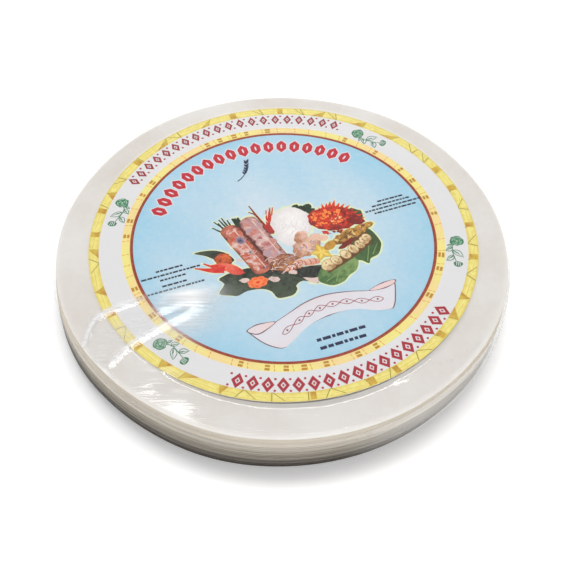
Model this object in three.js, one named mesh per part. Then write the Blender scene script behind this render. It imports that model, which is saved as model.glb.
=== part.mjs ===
// A round pack of dried rice-paper wrappers: a low stack of thin sheets, wrapped tightly in clear
// film, with a printed paper disc lying on the top sheet. Millimetres, +Z up. The origin is on
// the flat underside, at the middle of the pack's outline.

import * as THREE from 'three';
import { mergeVertices } from 'three/addons/utils/BufferGeometryUtils.js';

// Driving dimensions of the wrapped stack
const sheetDiameter = 221; // one rice-paper round with the film over its edge
const packHeight = 25; // about forty sheets, each 0.6 mm with its share of air
const sideBulge = 0.6; // how far the middle sheets stand out past the top one
const bulgeHeight = 11; // where the side is widest
const footInset = 5.5; // the underside's flat is this much inside the top edge
const footRise = 6.5; // height over which the lower edge curves out
const topRounding = 1.6; // film pulled over the top edge

// How uneven the stack is
const unevenness = [
  { waves: 2, size: 0.35, phase: 0.6 }, // slightly oval sheets
  { waves: 5, size: 0.2, phase: 1.9 }, // the rounds are cut and dried by hand
  { waves: 9, size: 0.12, phase: 4.1 },
];
const lowerSheetsShift = new THREE.Vector2(-1.6, -1.8); // the lower sheets have slid to one side

// Driving dimensions of the label
const labelDiameter = 190.8;
const labelThickness = 0.25;
const labelOffset = new THREE.Vector2(0.75, 4.4); // it lies a little off the stack's middle

// Fineness of the facets
const stackSides = 96;
const labelSides = 120;
const pointsPerCurve = 6;

// The pack's section, from the middle of the underside round to the middle of the top
function stackSection() {
  const topRadius = sheetDiameter / 2;
  const footRadius = topRadius - footInset;
  const widestRadius = topRadius + sideBulge;
  const shoulderHeight = packHeight - topRounding;
  const section = new THREE.Path();
  section.moveTo(0, 0);
  section.lineTo(footRadius, 0);
  section.bezierCurveTo(
    footRadius + 0.7 * footInset, 0,
    widestRadius, bulgeHeight - footRise,
    widestRadius, bulgeHeight,
  );
  section.bezierCurveTo(
    widestRadius, bulgeHeight + 0.4 * footRise,
    topRadius, shoulderHeight - 0.4 * footRise,
    topRadius, shoulderHeight,
  );
  section.quadraticCurveTo(topRadius, packHeight, topRadius - topRounding, packHeight);
  section.lineTo(0, packHeight);
  return section.getPoints(pointsPerCurve);
}

// Turns the section about the pack's axis, which comes out along +Z, and joins the seam
function revolved(section) {
  const turned = new THREE.LatheGeometry(section, stackSides);
  turned.rotateX(Math.PI / 2);
  turned.deleteAttribute('normal');
  turned.deleteAttribute('uv');
  return mergeVertices(turned);
}

// Moves points only sideways, so that the underside and the top stay flat
function makeUneven(geometry) {
  const position = geometry.attributes.position;
  const point = new THREE.Vector3();
  for (let i = 0; i < position.count; i += 1) {
    point.fromBufferAttribute(position, i);
    const angle = Math.atan2(point.y, point.x);
    const radius = Math.hypot(point.x, point.y);
    const outward = unevenness.reduce(
      (sum, wave) => sum + wave.size * Math.cos(wave.waves * angle + wave.phase),
      0,
    );
    const stretch = 1 + outward / (sheetDiameter / 2);
    const depthShare = 1 - point.z / packHeight;
    point.x = radius * stretch * Math.cos(angle) + lowerSheetsShift.x * depthShare;
    point.y = radius * stretch * Math.sin(angle) + lowerSheetsShift.y * depthShare;
    position.setXYZ(i, point.x, point.y, point.z);
  }
  geometry.computeVertexNormals();
}

function buildWrappedStack() {
  const geometry = revolved(stackSection());
  makeUneven(geometry);
  const ricePaperUnderFilm = new THREE.MeshStandardMaterial({
    color: 0xdedad5,
    roughness: 0.35,
    metalness: 0,
  });
  const wrappedStack = new THREE.Mesh(geometry, ricePaperUnderFilm);
  wrappedStack.name = 'wrapped_stack';
  return wrappedStack;
}

function buildLabel() {
  const labelRadius = labelDiameter / 2;
  const geometry = new THREE.CylinderGeometry(labelRadius, labelRadius, labelThickness, labelSides);
  geometry.rotateX(Math.PI / 2);
  const printedPaper = new THREE.MeshStandardMaterial({
    color: 0xbcdcea,
    roughness: 0.5,
    metalness: 0,
  });
  const label = new THREE.Mesh(geometry, printedPaper);
  label.name = 'label';
  label.position.set(labelOffset.x, labelOffset.y, packHeight + labelThickness / 2);
  return label;
}

const pack = new THREE.Group();
const wrappedStack = buildWrappedStack();
pack.add(wrappedStack, buildLabel());

// Centre the outline on the origin
const outlineMiddle = new THREE.Box3().setFromObject(wrappedStack).getCenter(new THREE.Vector3());
pack.position.set(-outlineMiddle.x, -outlineMiddle.y, 0);

export default pack;
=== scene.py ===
import math
import random

import bpy
import numpy as np
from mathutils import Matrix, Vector, geometry


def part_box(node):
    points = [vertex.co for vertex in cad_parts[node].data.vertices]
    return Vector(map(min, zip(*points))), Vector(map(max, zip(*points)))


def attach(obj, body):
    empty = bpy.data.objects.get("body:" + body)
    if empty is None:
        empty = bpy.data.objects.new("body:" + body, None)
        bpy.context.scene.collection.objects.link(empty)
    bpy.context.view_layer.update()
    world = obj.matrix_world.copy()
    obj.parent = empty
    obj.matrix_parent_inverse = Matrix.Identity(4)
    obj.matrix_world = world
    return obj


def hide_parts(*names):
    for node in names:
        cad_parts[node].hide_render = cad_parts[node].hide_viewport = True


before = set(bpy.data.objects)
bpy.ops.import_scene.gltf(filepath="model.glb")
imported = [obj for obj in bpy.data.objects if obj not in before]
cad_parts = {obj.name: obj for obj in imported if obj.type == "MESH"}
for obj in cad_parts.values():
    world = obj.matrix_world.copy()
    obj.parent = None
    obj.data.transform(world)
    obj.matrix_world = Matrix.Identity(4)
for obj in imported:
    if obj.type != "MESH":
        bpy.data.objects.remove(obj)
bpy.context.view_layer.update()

mm = 0.001

stackLow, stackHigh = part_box("wrapped_stack")
labelLow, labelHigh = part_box("label")

# Everything on the pack is laid out in mm, x and y from the middle of the top sheet
pack = {
    "labelOffset": (0.75, 4.4),     # where the label's middle lies
    "overhang": 1.0,                # how far the widest sheet passes the top one
    "footInset": 6.1,
    "bulge": 0.6,
    "bulgeHeight": 11.0,
    "topRounding": 1.6,
    "lean": (-1.6, -1.8),           # the lowest sheets have slid this way
    "waves": ((2, 0.35, 0.6), (5, 0.2, 1.9), (9, 0.12, 4.1)),
}
stackHeight = stackHigh.z / mm
rimRadius = (stackHigh.x - stackLow.x) / 2 / mm - pack["overhang"]
labelRadius = (labelHigh.x - labelLow.x) / 2 / mm
topX = (labelLow.x + labelHigh.x) / 2 / mm - pack["labelOffset"][0]
topY = (labelLow.y + labelHigh.y) / 2 / mm - pack["labelOffset"][1]


def eased(share):
    share = np.clip(share, 0.0, 1.0)
    return share * share * (3.0 - 2.0 * share)


def wallRadius(height):
    # the side's radius at a height above the table, without its unevenness
    rise = np.clip(height / pack["bulgeHeight"], 0.0, 1.0)
    foot = pack["footInset"] * (1.0 - np.sqrt(rise)) ** 1.75
    shoulder = stackHeight - pack["topRounding"]
    climb = np.clip((height - pack["bulgeHeight"]) / (shoulder - pack["bulgeHeight"]), 0.0, 1.0)
    over = np.clip((height - shoulder) / pack["topRounding"], 0.0, 1.0)
    rounding = pack["topRounding"] * (1.0 - np.sqrt(1.0 - over * over))
    return rimRadius + pack["bulge"] * (1.0 - climb * climb) - foot - rounding


def uneven(angle):
    # 1 where the outline is a true circle
    swell = sum(size * np.cos(count * angle + phase) for count, size, phase in pack["waves"])
    return 1.0 + swell / rimRadius


def leanAt(height):
    share = 1.0 - height / stackHeight
    return pack["lean"][0] * share, pack["lean"][1] * share


def placed(name, data):
    piece = bpy.data.objects.new(name, data)
    bpy.context.scene.collection.objects.link(piece)
    return piece


def meshPiece(name, points, faces, material, smooth=True):
    # points in mm from the top sheet's middle, heights in mm above the table
    mesh = bpy.data.meshes.new(name)
    spots = (np.asarray(points, float) + (topX, topY, 0.0)) * mm
    mesh.from_pydata(spots.tolist(), [], faces)
    mesh.polygons.foreach_set("use_smooth", [smooth] * len(mesh.polygons))
    mesh.materials.append(material)
    mesh.update()
    return placed(name, mesh)


def shade(red, green, blue):
    # a colour given as 0 to 255 is turned into scene light
    def light(value):
        value = value / 255
        return value / 12.92 if value <= 0.04045 else ((value + 0.055) / 1.055) ** 2.4
    return (light(red), light(green), light(blue), 1.0)


class Wire:
    # the output of a node; sums on it add Math nodes
    def __init__(self, tree, socket):
        self.tree = tree
        self.socket = socket

    def maths(self, operation, *terms):
        made = self.tree.nodes.new("ShaderNodeMath")
        made.operation = operation
        for place, term in enumerate(terms):
            if isinstance(term, Wire):
                self.tree.links.new(term.socket, made.inputs[place])
            else:
                made.inputs[place].default_value = term
        return Wire(self.tree, made.outputs[0])

    def __add__(self, other):
        return self.maths("ADD", self, other)

    def __radd__(self, other):
        return self.maths("ADD", other, self)

    def __sub__(self, other):
        return self.maths("SUBTRACT", self, other)

    def __rsub__(self, other):
        return self.maths("SUBTRACT", other, self)

    def __mul__(self, other):
        return self.maths("MULTIPLY", self, other)

    def __rmul__(self, other):
        return self.maths("MULTIPLY", other, self)

    def __truediv__(self, other):
        return self.maths("DIVIDE", self, other)

    def __rtruediv__(self, other):
        return self.maths("DIVIDE", other, self)

    def __pow__(self, other):
        return self.maths("POWER", self, other)

    def __rpow__(self, other):
        return self.maths("POWER", other, self)

    def limited(self):
        made = self.maths("ADD", self, 0.0)
        made.socket.node.use_clamp = True
        return made

    def side(self, key):
        return Wire(self.tree, pick(self.socket.node.outputs, key))


def pick(sockets, key):
    if isinstance(key, int):
        return sockets[key]
    return next(s for s in sockets if s.enabled and key in (s.identifier, s.name))


class Board:
    # a node tree that is being wired
    def __init__(self, tree):
        self.tree = tree

    def add(self, kind, settings=None, sockets=None, output=0):
        made = self.tree.nodes.new(kind)
        for name, value in (settings or {}).items():
            setattr(made, name, value)
        for key, value in (sockets or {}).items():
            socket = pick(made.inputs, key)
            if isinstance(value, Wire):
                self.tree.links.new(value.socket, socket)
            else:
                socket.default_value = value
        return Wire(self.tree, pick(made.outputs, output)) if made.outputs else None

    def noise(self, scale, detail=2.0, vector=None, roughness=0.5):
        sockets = {"Scale": scale, "Detail": detail, "Roughness": roughness}
        if vector is not None:
            sockets["Vector"] = vector
        return self.add("ShaderNodeTexNoise", {}, sockets)

    def coordinates(self, output="Object"):
        return self.add("ShaderNodeTexCoord", {}, {}, output)

    def part(self, vector, axis):
        return self.add("ShaderNodeSeparateXYZ", {}, {"Vector": vector}, axis)

    def stretched(self, vector, scale):
        return self.add("ShaderNodeMapping", {}, {"Vector": vector, "Scale": scale})

    def stored(self, name, output="Fac"):
        return self.add("ShaderNodeAttribute", {"attribute_name": name}, {}, output)

    def bump(self, look, height):
        return self.add("ShaderNodeBump", {}, {
            "Strength": look["bumpStrength"], "Distance": look["bumpDepth"], "Height": height})

    def blend(self, share, first, second):
        colours = {"Factor": share, "A": first, "B": second}
        return self.add("ShaderNodeMix", {"data_type": "RGBA"}, colours, "Result")


def newMaterial(name):
    material = bpy.data.materials.new(name)
    material.use_nodes = True
    material.node_tree.nodes.clear()
    return material, Board(material.node_tree)


def show(board, surface):
    board.add("ShaderNodeOutputMaterial", {}, {"Surface": surface})


ricePaper = {
    "pale": shade(232, 229, 225),
    "warm": shade(221, 215, 208),
    # the sheets' edges are painted lighter at the top and painted in shade towards the table
    "edgePaintedLight": shade(249, 239, 222),
    "edgePaintedShade": shade(38, 24, 12),
    "paintedShadeHeight": 20.0 * mm,       # below this height the sheets' edges darken, a painted shade
    "paintedShadeCurve": 2.0,
    "paintedLightRight": 0.3,             # but less so on the right, where painted light lightens them
    "bunchTone": 1.3,
    "bunchHeight": 2.2 * mm,
    "footBunch": 0.03,
    "speck": shade(112, 98, 86),
    "speckRadius": 0.3 * mm,
    "speckSpacing": 15.0 * mm,
    "speckShare": 0.22,          # how many of the places have a speck
    "speckStrength": 0.8,
    "cloudScale": 26.0,
    "cloudContrast": 2.2,
    "grainScale": 420.0,
    "grainContrast": 0.6,
    "roughness": 0.55,
    "sheen": 0.2,
    "bumpStrength": 0.3,
    "bumpDepth": 0.2 * mm,
}


def ricePaperMaterial():
    look = ricePaper
    material, board = newMaterial("ricePaper")
    place = board.coordinates()
    height = board.part(place, "Z")
    cloud = board.noise(look["cloudScale"], 4.0, place)
    grain = board.noise(look["grainScale"], 2.0, place)
    fleck = board.add("ShaderNodeTexVoronoi", {}, {
        "Vector": place, "Scale": 1.0 / look["speckSpacing"]}, "Distance")
    chance = board.add("ShaderNodeSeparateColor", {}, {"Color": fleck.side("Color")})
    chosen = ((look["speckShare"] - chance) * 1000.0).limited()
    reach = look["speckRadius"] / look["speckSpacing"]
    specks = ((reach - fleck) * (3.0 / reach)).limited() * chosen
    # painted shade: the edges darken towards the table, as if the lower side were in shade
    paintedLightShare = (height / look["paintedShadeHeight"]).limited() ** look["paintedShadeCurve"]
    flattened = board.stretched(place, (6.0, 6.0, 1.0 / look["bunchHeight"]))
    bunch = (board.noise(1.0, 2.0, flattened) - 0.5) * look["bunchTone"]
    sideways = board.part(place, "X")
    # painted light: the edges are lighter on the right, as if light fell from that side
    paintedRightLight = (sideways * (1.2 / (rimRadius * mm)) - 0.3).limited() * look["paintedLightRight"]
    paintedLightShare = (paintedLightShare * (1.0 + bunch) + bunch * look["footBunch"] + paintedRightLight).limited()
    mottle = (cloud - 0.5) * look["cloudContrast"] + (grain - 0.5) * look["grainContrast"]
    sheetTone = board.blend((mottle + 0.5).limited(), look["warm"], look["pale"])
    paintedEdgeTone = board.blend(paintedLightShare, look["edgePaintedShade"], look["edgePaintedLight"])
    normal = board.add("ShaderNodeNewGeometry", {}, {}, "Normal")
    facing = board.part(normal, "Z")
    # only the outermost sheets show their flat faces
    topSheet = ((height - (stackHeight - 1.0) * mm) / (0.4 * mm)).limited()
    lowSheet = ((0.4 * mm - height) / (0.2 * mm)).limited()
    flatness = ((facing * facing) * 1.4 - 0.2).limited() * (topSheet + lowSheet)
    tone = board.blend(flatness, paintedEdgeTone, sheetTone)
    tone = board.blend(specks * look["speckStrength"], tone, look["speck"])
    surface = board.add("ShaderNodeBsdfPrincipled", {}, {
        "Base Color": tone,
        "Roughness": look["roughness"],
        "Specular IOR Level": look["sheen"],
        "Normal": board.bump(look, grain + cloud * 2.0),
    })
    show(board, surface)
    return material


# Named inputs of the Geometry Nodes tree that makes the stack
sheets = {
    "Sheet Count": 40,
    "Corners": 288,
    "Thickness": 0.52 * mm,
    "Clearance": 0.9 * mm,       # between a sheet's edge and the film
    "Edge Roundness": 0.16 * mm,
    "Bunching": 1.1 * mm,        # how far neighbouring sheets drift together
    "Straying": 0.55 * mm,       # how far a single sheet strays
    "Edge Wobble": 0.35 * mm,
    "Seed": 11,
}


def sheetStackTree():
    tree = bpy.data.node_groups.new("riceSheetStack", "GeometryNodeTree")
    sockets = {}
    for name, value in sheets.items():
        kind = "NodeSocketInt" if isinstance(value, int) else "NodeSocketFloat"
        sockets[name] = tree.interface.new_socket(name=name, in_out="INPUT", socket_type=kind).identifier
    sockets["Paper"] = tree.interface.new_socket(
        name="Paper", in_out="INPUT", socket_type="NodeSocketMaterial").identifier
    tree.interface.new_socket(name="Geometry", in_out="OUTPUT", socket_type="NodeSocketGeometry")
    board = Board(tree)
    given = board.add("NodeGroupInput")
    radius = rimRadius * mm
    lift = 0.04 * mm             # the lowest sheet lies this far up
    height = stackHeight * mm - lift
    pitch = height / sheets["Sheet Count"]

    disc = board.add("GeometryNodeMeshCylinder", {"fill_type": "NGON"}, {
        "Vertices": given.side("Corners"),
        "Side Segments": 2,
        "Radius": radius,
        "Depth": given.side("Thickness"),
    }, "Mesh")
    flat = board.add("GeometryNodeSetShadeSmooth", {}, {"Geometry": disc, "Shade Smooth": False})
    spots = board.add("GeometryNodeMeshLine", {"mode": "OFFSET"}, {
        "Count": given.side("Sheet Count"),
        "Start Location": (0.0, 0.0, pitch / 2 + lift),
        "Offset": (0.0, 0.0, pitch),
    })
    piled = board.add("GeometryNodeInstanceOnPoints", {}, {"Points": spots, "Instance": flat})
    loose = board.add("GeometryNodeRealizeInstances", {}, {"Geometry": piled})

    place = board.add("GeometryNodeInputPosition")
    across = board.part(place, "X")
    along = across.side("Y")
    up = across.side("Z")
    level = across.maths("FLOOR", (up - lift) / pitch)
    middle = (level + 0.5) * pitch + lift
    offMiddle = (up - middle) / (given.side("Thickness") * 0.5)
    roundness = (1.0 - offMiddle * offMiddle) * given.side("Edge Roundness")
    angle = across.maths("ARCTAN2", along, across)

    # the wall's radius at this sheet, as wallRadius has it
    rise = (middle / (pack["bulgeHeight"] * mm)).limited()
    foot = (1.0 - rise ** 0.5) ** 1.75 * (pack["footInset"] * mm)
    span = (stackHeight - pack["topRounding"] - pack["bulgeHeight"]) * mm
    climb = ((middle - pack["bulgeHeight"] * mm) / span).limited()
    wall = (1.0 - climb * climb) * (pack["bulge"] * mm) - foot + radius
    swell = 1.0
    for count, size, phase in pack["waves"]:
        swell = across.maths("COSINE", angle * float(count) + phase) * (size / rimRadius) + swell

    # drift of neighbours together, of each sheet alone, and each sheet's wavy edge
    seed = given.side("Seed") * 13.7
    drift = board.add("ShaderNodeTexNoise", {"noise_dimensions": "1D"}, {
        "W": level * 0.31 + seed, "Scale": 1.0, "Detail": 1.0})
    stray = board.add("ShaderNodeTexWhiteNoise", {"noise_dimensions": "1D"}, {"W": level + seed}, "Value")
    around = board.add("ShaderNodeCombineXYZ", {}, {
        "X": across * 9.0, "Y": along * 9.0, "Z": level * 0.23 + seed})
    wobble = board.noise(1.6, 2.0, around)
    inward = (drift * given.side("Bunching") + stray * given.side("Straying")
              + wobble * given.side("Edge Wobble") + given.side("Clearance") - 0.35 * mm)
    stretch = (wall * swell - inward + roundness) / radius
    share = 1.0 - middle / (stackHeight * mm)
    moved = board.add("ShaderNodeCombineXYZ", {}, {
        "X": across * stretch + share * (pack["lean"][0] * mm) + topX * mm,
        "Y": along * stretch + share * (pack["lean"][1] * mm) + topY * mm,
        "Z": up,
    })
    shaped = board.add("GeometryNodeSetPosition", {}, {"Geometry": loose, "Position": moved})
    whole = board.add("GeometryNodeRealizeInstances", {}, {"Geometry": shaped})
    finished = board.add("GeometryNodeSetMaterial", {}, {"Geometry": whole, "Material": given.side("Paper")})
    board.add("NodeGroupOutput", {}, {"Geometry": finished})
    return tree, sockets


def riceSheets(material):
    tree, sockets = sheetStackTree()
    maker = placed("sheetMaker", bpy.data.meshes.new("sheetMaker"))
    modifier = maker.modifiers.new("riceSheetStack", "NODES")
    modifier.node_group = tree
    for name, value in sheets.items():
        modifier[sockets[name]] = value
    modifier[sockets["Paper"]] = material
    bpy.context.view_layer.update()
    evaluated = maker.evaluated_get(bpy.context.evaluated_depsgraph_get())
    mesh = bpy.data.meshes.new_from_object(evaluated)
    mesh.name = "riceSheets"
    maker.modifiers.clear()
    bpy.data.objects.remove(maker)
    return placed("riceSheets", mesh)


# How the film and the label lie on the top sheet
film = {
    "clearance": 0.1,
    "labelThickness": 0.2,
    "labelGap": 0.03,
    "slope": 0.37,               # how steeply the film comes down from the label's edge
    "slopeFoot": 0.2,            # how softly it meets the sheet
    "slopeChange": 0.25,         # how uneven the slope is round the edge
    "curl": 0.8,                 # how high the label's edge curls at the front
    "curlAngle": -78.0,          # degrees
    "curlSpread": 68.0,
    "curlReach": 17.0,           # how far in from the edge the label is curled
}

# Creases in the film: points, half width, height, how milky the stretched film is, partly haze and partly a
# painted highlight
creases = [
    {"path": ((-91.5, -67.5), (-89.3, -60.0), (-88.4, -54.0), (-85.8, -46.0), (-80.5, -41.2), (-70.0, -36.2),
              (-60.0, -32.0)),
     "width": 2.3, "height": 0.45, "cloud": 0.8},
    {"path": ((-91.5, -67.5), (-86.0, -69.5), (-79.5, -74.0), (-73.0, -81.0)),
     "width": 2.1, "height": 0.4, "cloud": 0.6},
    {"path": ((-80.5, -76.0), (-73.6, -66.2), (-68.4, -60.0), (-61.6, -54.6), (-54.7, -49.5), (-42.0, -41.0)),
     "width": 2.2, "height": 0.5, "cloud": 0.7},
    {"path": ((49.0, -81.4), (52.0, -79.6), (56.5, -77.6)),
     "width": 0.9, "height": 0.14, "cloud": 0.15},
    {"path": ((69.0, -71.0), (73.0, -69.6), (77.0, -67.7)),
     "width": 0.9, "height": 0.14, "cloud": 0.15},
    {"path": ((74.0, -77.5), (79.9, -70.8), (84.2, -65.0), (88.0, -60.4), (92.0, -54.0)),
     "width": 1.9, "height": 0.2, "cloud": 0.12},
]

# Places where air lifts the film: middle, half length, half width in front and behind, turn in degrees,
# height, and a white haze that is partly stretched film and partly a painted highlight
swellings = [
    {"middle": (-43.5, -32.5), "size": (13.0, 10.0, 4.2), "turn": 10.0, "height": 1.75, "cloud": 0.95},
    {"middle": (-55.0, -38.0), "size": (7.0, 8.5, 3.4), "turn": 30.0, "height": 0.8, "cloud": 0.5},
    {"middle": (-44.0, -47.0), "size": (14.0, 10.0, 8.0), "turn": 28.0, "height": 0.1, "cloud": 0.55},
    {"middle": (-70.0, -51.0), "size": (17.0, 8.0, 8.0), "turn": 33.0, "height": 0.1, "cloud": 0.32},
    {"middle": (-80.5, -67.5), "size": (7.0, 6.5, 5.0), "turn": -40.0, "height": 0.45, "cloud": 0.4},
    {"middle": (-86.0, -53.0), "size": (3.4, 8.0, 3.0), "turn": 60.0, "height": 0.3, "cloud": 0.2},
    {"middle": (-55.5, -76.5), "size": (9.5, 10.0, 3.0), "turn": -4.0, "height": 0.95, "cloud": 0.2},
    {"middle": (-45.0, -87.5), "size": (8.5, 11.0, 3.0), "turn": -10.0, "height": 0.95, "cloud": 0.2},
]


def labelFrame(x, y):
    # from the label's middle: the distance, and how much its edge is curled on this side
    fromX = x - pack["labelOffset"][0]
    fromY = y - pack["labelOffset"][1]
    turn = np.degrees(np.arctan2(fromY, fromX)) - film["curlAngle"]
    turn = np.abs((turn + 180.0) % 360.0 - 180.0)
    return np.hypot(fromX, fromY), eased(1.0 - turn / film["curlSpread"])


def labelLift(x, y):
    reach, share = labelFrame(x, y)
    return film["curl"] * share * np.clip((reach - labelRadius) / film["curlReach"] + 1.0, 0.0, 1.0) ** 2.4


def ripples(x, y, wavelength, seed, count=7):
    # a gentle sum of waves in all directions, about -1 to 1
    draw = random.Random(seed)
    total = np.zeros_like(x)
    for _ in range(count):
        heading = draw.uniform(0.0, math.tau)
        length = wavelength * draw.uniform(0.7, 1.6)
        phase = draw.uniform(0.0, math.tau)
        total += np.sin((x * math.cos(heading) + y * math.sin(heading)) * math.tau / length + phase)
    return total / count


def smoothPath(points, steps=8, closed=False):
    # a curve through the points
    points = [np.array(p, float) for p in points]
    count = len(points)
    curve = []
    spans = count if closed else count - 1
    for i in range(spans):
        before = points[(i - 1) % count] if closed or i > 0 else points[0]
        start = points[i]
        end = points[(i + 1) % count]
        after = points[(i + 2) % count] if closed or i + 2 < count else points[-1]
        for step in range(steps):
            t = step / steps
            bend = 2 * before - 5 * start + 4 * end - after
            twist = 3 * start - before - 3 * end + after
            curve.append(0.5 * (2 * start + (end - before) * t + bend * t * t + twist * t ** 3))
    if not closed:
        curve.append(points[-1])
    return np.array(curve)


def distanceTo(path, x, y):
    # from each point to a path, and how far along the path it is nearest, 0 to 1
    best = np.full(x.shape, 1e9)
    where = np.zeros(x.shape)
    for i in range(len(path) - 1):
        start = path[i]
        step = path[i + 1] - start
        t = np.clip(((x - start[0]) * step[0] + (y - start[1]) * step[1]) / max(step @ step, 1e-9), 0.0, 1.0)
        gap = np.hypot(x - start[0] - t * step[0], y - start[1] - t * step[1])
        nearer = gap < best
        best = np.where(nearer, gap, best)
        where = np.where(nearer, (i + t) / (len(path) - 1), where)
    return best, where


def filmRise(x, y):
    # the film's height over the stack's top plane, and how milky it is, partly haze and partly a painted
    # highlight
    reach, share = labelFrame(x, y)
    over = film["labelThickness"] + film["labelGap"]
    atEdge = over + film["curl"] * share
    slope = film["slope"] * (1.0 + film["slopeChange"] * ripples(x, y, 19.0, 8) * share)
    beyond = (atEdge / slope - (reach - labelRadius - 0.15)) / film["slopeFoot"]
    coming = slope * film["slopeFoot"] * np.logaddexp(0.0, beyond)
    rise = np.where(reach < labelRadius + 0.15, over + labelLift(x, y), np.minimum(coming, atEdge))
    rise = rise + film["clearance"] + 0.03 * ripples(x, y, 30.0, 3) + 0.03
    cloud = np.zeros_like(x)
    for crease in creases:
        gap, where = distanceTo(smoothPath(crease["path"]), x, y)
        taper = np.sqrt(eased(where / 0.2) * eased((1.0 - where) / 0.2))
        ridge = np.exp(-((gap / crease["width"]) ** 2)) * taper
        rise = rise + crease["height"] * ridge
        cloud = np.maximum(cloud, crease["cloud"] * ridge ** 2.5)
    for swelling in swellings:
        turn = math.radians(swelling["turn"])
        fromX = x - swelling["middle"][0]
        fromY = y - swelling["middle"][1]
        longHalf, frontHalf, backHalf = swelling["size"]
        longways = (fromX * math.cos(turn) + fromY * math.sin(turn)) / longHalf
        crossways = fromY * math.cos(turn) - fromX * math.sin(turn)
        crossways = crossways / np.where(crossways < 0.0, frontHalf, backHalf)
        hump = np.exp(-(longways ** 2 + crossways ** 2))
        rise = rise + swelling["height"] * hump
        cloud = np.maximum(cloud, swelling["cloud"] * hump)
    return rise, cloud


filmMesh = {
    "segments": 600,
    "crowding": 0.42,            # the creased side gets more points
    "crowdedAngle": -2.1,
    "pleats": 0.4,
    "pleatReach": 8.0,
    "bandDepth": 0.28,
    "bandWidth": 0.9,
    "shoulderCloud": 0.18,
    "footCloud": 0.03,
    "sidePaintedHighlight": 0.32,           # painted highlight: the wall is whiter on the right
    "paintedHighlightAngle": -0.6,
}
# folds that run round the wall: height, how far they wander, waves round the pack, phase
sideBands = ((20.4, 0.4, 1, 0.4), (16.8, 0.7, 2, 2.2), (13.2, 0.8, 1, 4.0), (9.4, 0.7, 3, 1.1),
             (5.6, 0.5, 2, 5.0))


def filmRings():
    # radii on the top, then heights down the side, then radii on the underside
    top = []
    for start, end, step in ((3.0, 60.0, 3.0), (60.0, 86.0, 1.3), (86.0, 94.6, 0.8), (94.6, 99.4, 0.2)):
        top += list(np.arange(start, end, step))
    top += list(np.linspace(99.5, rimRadius - pack["topRounding"], 13))
    shoulder = stackHeight - pack["topRounding"]
    side = [stackHeight - pack["topRounding"] * (1.0 - math.sin(a)) for a in np.linspace(1.35, 0.15, 7)]
    side += list(np.linspace(shoulder, 2.5, 34)) + [1.8, 1.2, 0.7, 0.35, 0.12]
    foot = rimRadius + pack["bulge"] - pack["footInset"]
    under = [foot - step for step in (0.4, 1.4, 3.0, 6.0, 10.0, 16.0, 30.0, 60.0, 100.0)]
    return top, side, under


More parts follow.
